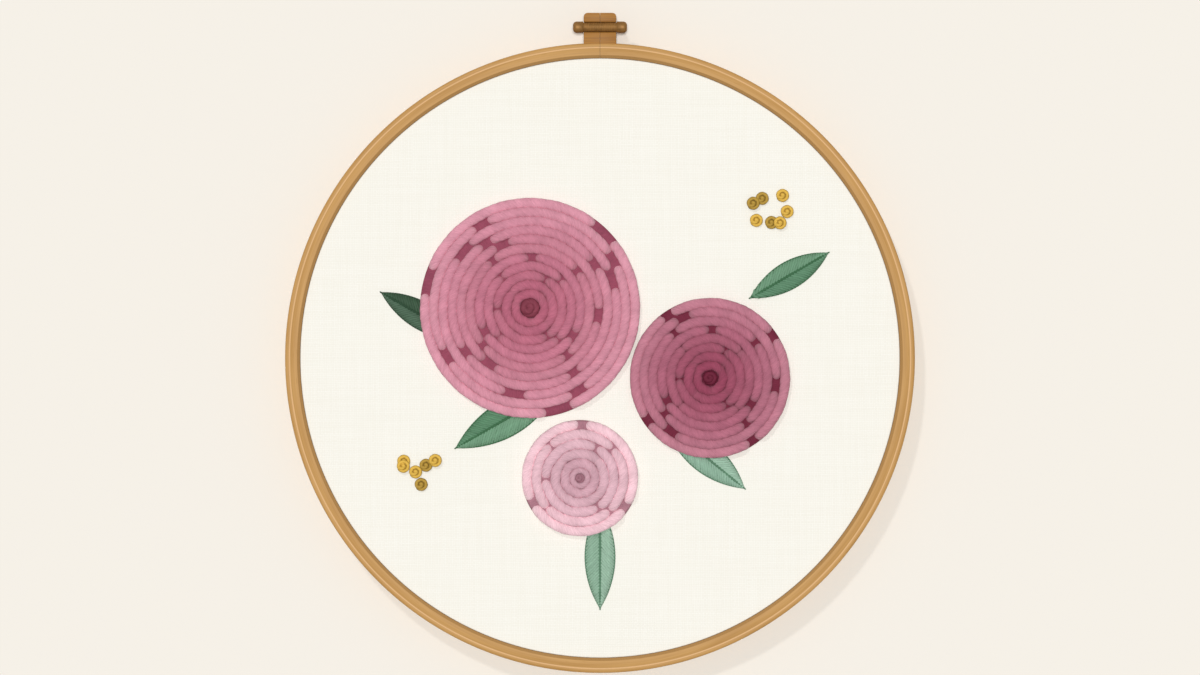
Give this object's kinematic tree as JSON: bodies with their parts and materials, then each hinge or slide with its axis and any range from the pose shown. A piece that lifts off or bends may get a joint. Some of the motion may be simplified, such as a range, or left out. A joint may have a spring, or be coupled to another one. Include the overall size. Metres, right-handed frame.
{
  "type": "hoop embroidery art with its wooden embroidery hoop",
  "caption": "Round wooden embroidery hoop holding stretched cream cloth, stitched with woven wheel roses, satin stitch leaves and French knots, closed by a clamp screw at the top.",
  "frame": {"origin": "centre of the object's bottom, where the hoop's back rests on the surface", "axes": "+Z out of the embroidered face, +Y towards the clamp at the top of the picture, +X to the right of the picture"},
  "size_m": [0.1606, 0.1683, 0.0129],
  "materials": {
    "hoop_wood": "satin bamboo",
    "ear_wood": "satin, darker than the hoop",
    "clamp_metal": "aged, brown",
    "cloth_linen": "plain woven, matt",
    "yarn_rose": "plied yarn, matt",
    "yarn_rose_dark": "plied yarn, matt",
    "yarn_plum": "plied yarn, matt",
    "yarn_plum_dark": "plied yarn, matt",
    "yarn_blush": "plied yarn, matt",
    "yarn_blush_dark": "plied yarn, matt",
    "floss_deep_green": "cotton floss, soft sheen",
    "floss_green": "cotton floss, soft sheen",
    "floss_mid_green": "cotton floss, soft sheen",
    "floss_sage": "cotton floss, soft sheen",
    "floss_pale_sage": "cotton floss, soft sheen",
    "floss_gold": "cotton floss, soft sheen"
  },
  "bodies": {
    "root": {"outer_ring": "hoop_wood", "inner_ring": "hoop_wood", "ear_left": "ear_wood", "ear_right": "ear_wood", "clamp_nut": "clamp_metal", "cloth": "cloth_linen", "rose_large": "yarn_rose", "rose_large_eye": "yarn_rose_dark", "rose_middle": "yarn_plum", "rose_middle_eye": "yarn_plum_dark", "rose_small": "yarn_blush", "rose_small_eye": "yarn_blush_dark", "leaf_upper_left": "floss_deep_green", "leaf_lower_left": "floss_green", "leaf_upper_right": "floss_mid_green", "leaf_lower_right": "floss_sage", "leaf_bottom": "floss_pale_sage", "knot_upper_1": "floss_gold", "knot_upper_2": "floss_gold", "knot_upper_3": "floss_gold", "knot_upper_4": "floss_gold", "knot_upper_5": "floss_gold", "knot_lower_1": "floss_gold", "knot_lower_2": "floss_gold", "knot_lower_3": "floss_gold", "knot_lower_4": "floss_gold"},
    "screw": {"clamp_screw": "clamp_metal"}
  },
  "joints": [
    {"name": "screw_turn", "type": "hinge", "parent": "root", "child": "screw", "pos_m": [0, 0.0805, 0.0093], "axis": [1, 0, 0], "continuous": true}
  ]
}
